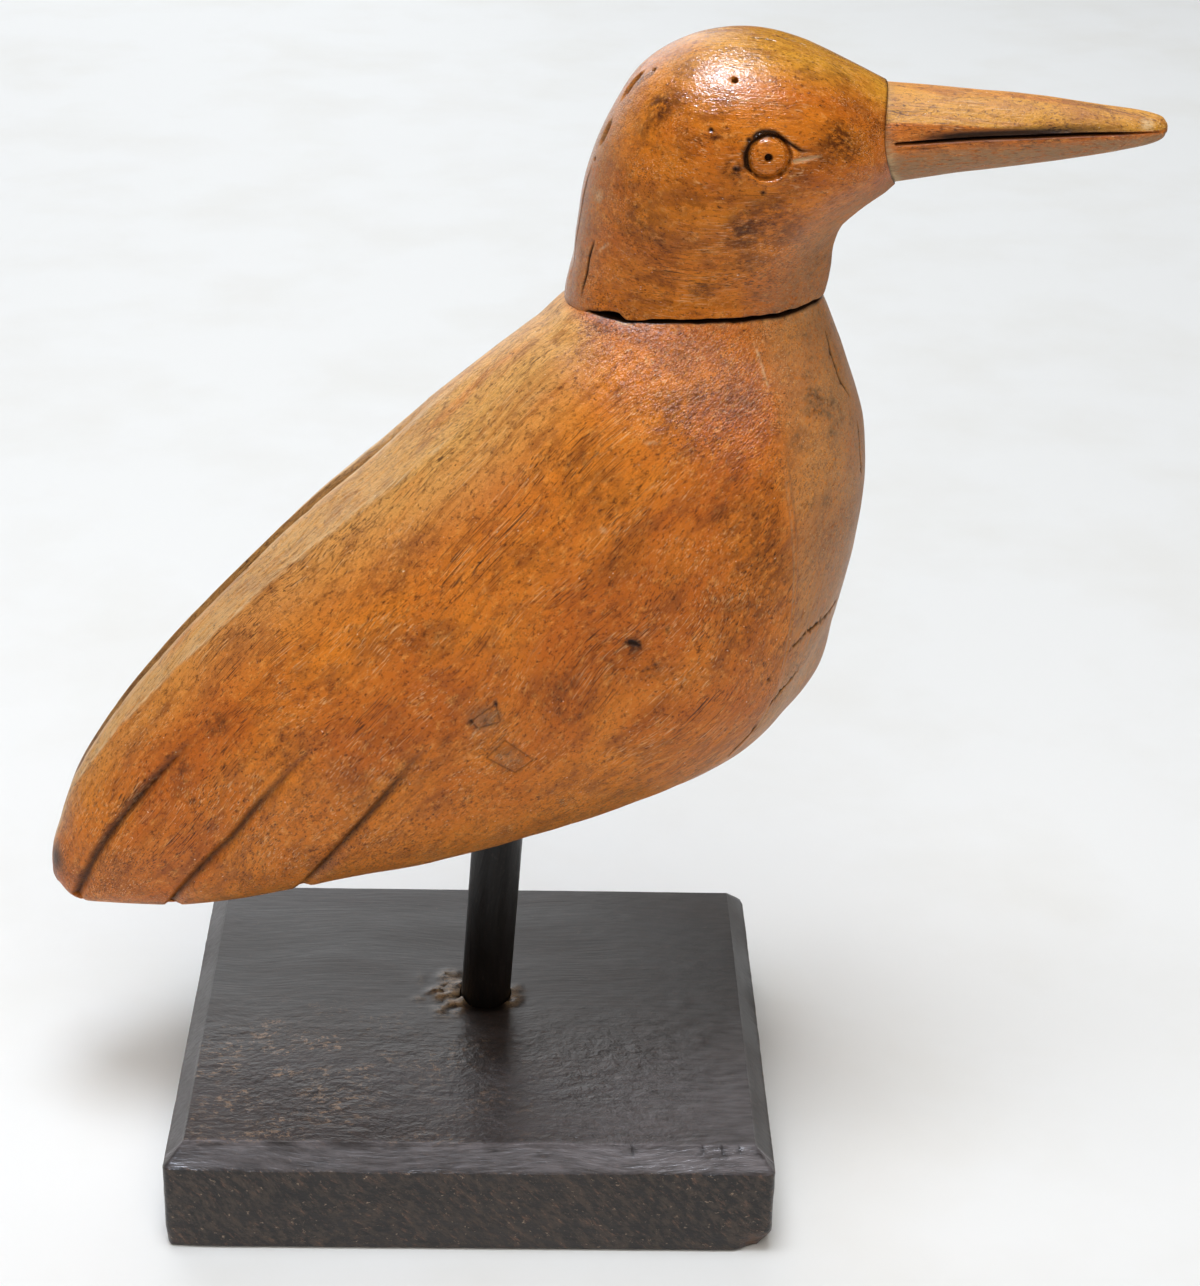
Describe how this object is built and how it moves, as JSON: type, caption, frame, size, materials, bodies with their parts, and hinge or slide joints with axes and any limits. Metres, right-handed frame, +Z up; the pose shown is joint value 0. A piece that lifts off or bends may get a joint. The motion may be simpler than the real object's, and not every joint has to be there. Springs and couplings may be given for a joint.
{
  "type": "wooden bird figurine",
  "caption": "Carved wooden bird with a long straight beak and folded wings, held up by a round rod in a chamfered dark wood block.",
  "frame": {"origin": "middle of the block's underside", "axes": "+X towards the beak along the block's width, +Z up, +Y away from the side that the picture shows"},
  "size_m": [0.2042, 0.098, 0.2211],
  "materials": {
    "body_wood": "hand-carved orange-brown hardwood, waxed, mottled with old patina, satin",
    "head_wood": "hand-carved honey-brown hardwood, waxed, darker stains round the cheek, satin to semi-gloss",
    "rod_wood": "turned dowel stained near-black, worn satin",
    "base_wood": "planed block stained near-black, open grain, worn to brown at the corners, satin"
  },
  "bodies": {
    "root": {"bird_body": "body_wood", "bird_head": "head_wood", "stand_rod": "rod_wood", "stand_base": "base_wood"}
  },
  "joints": []
}
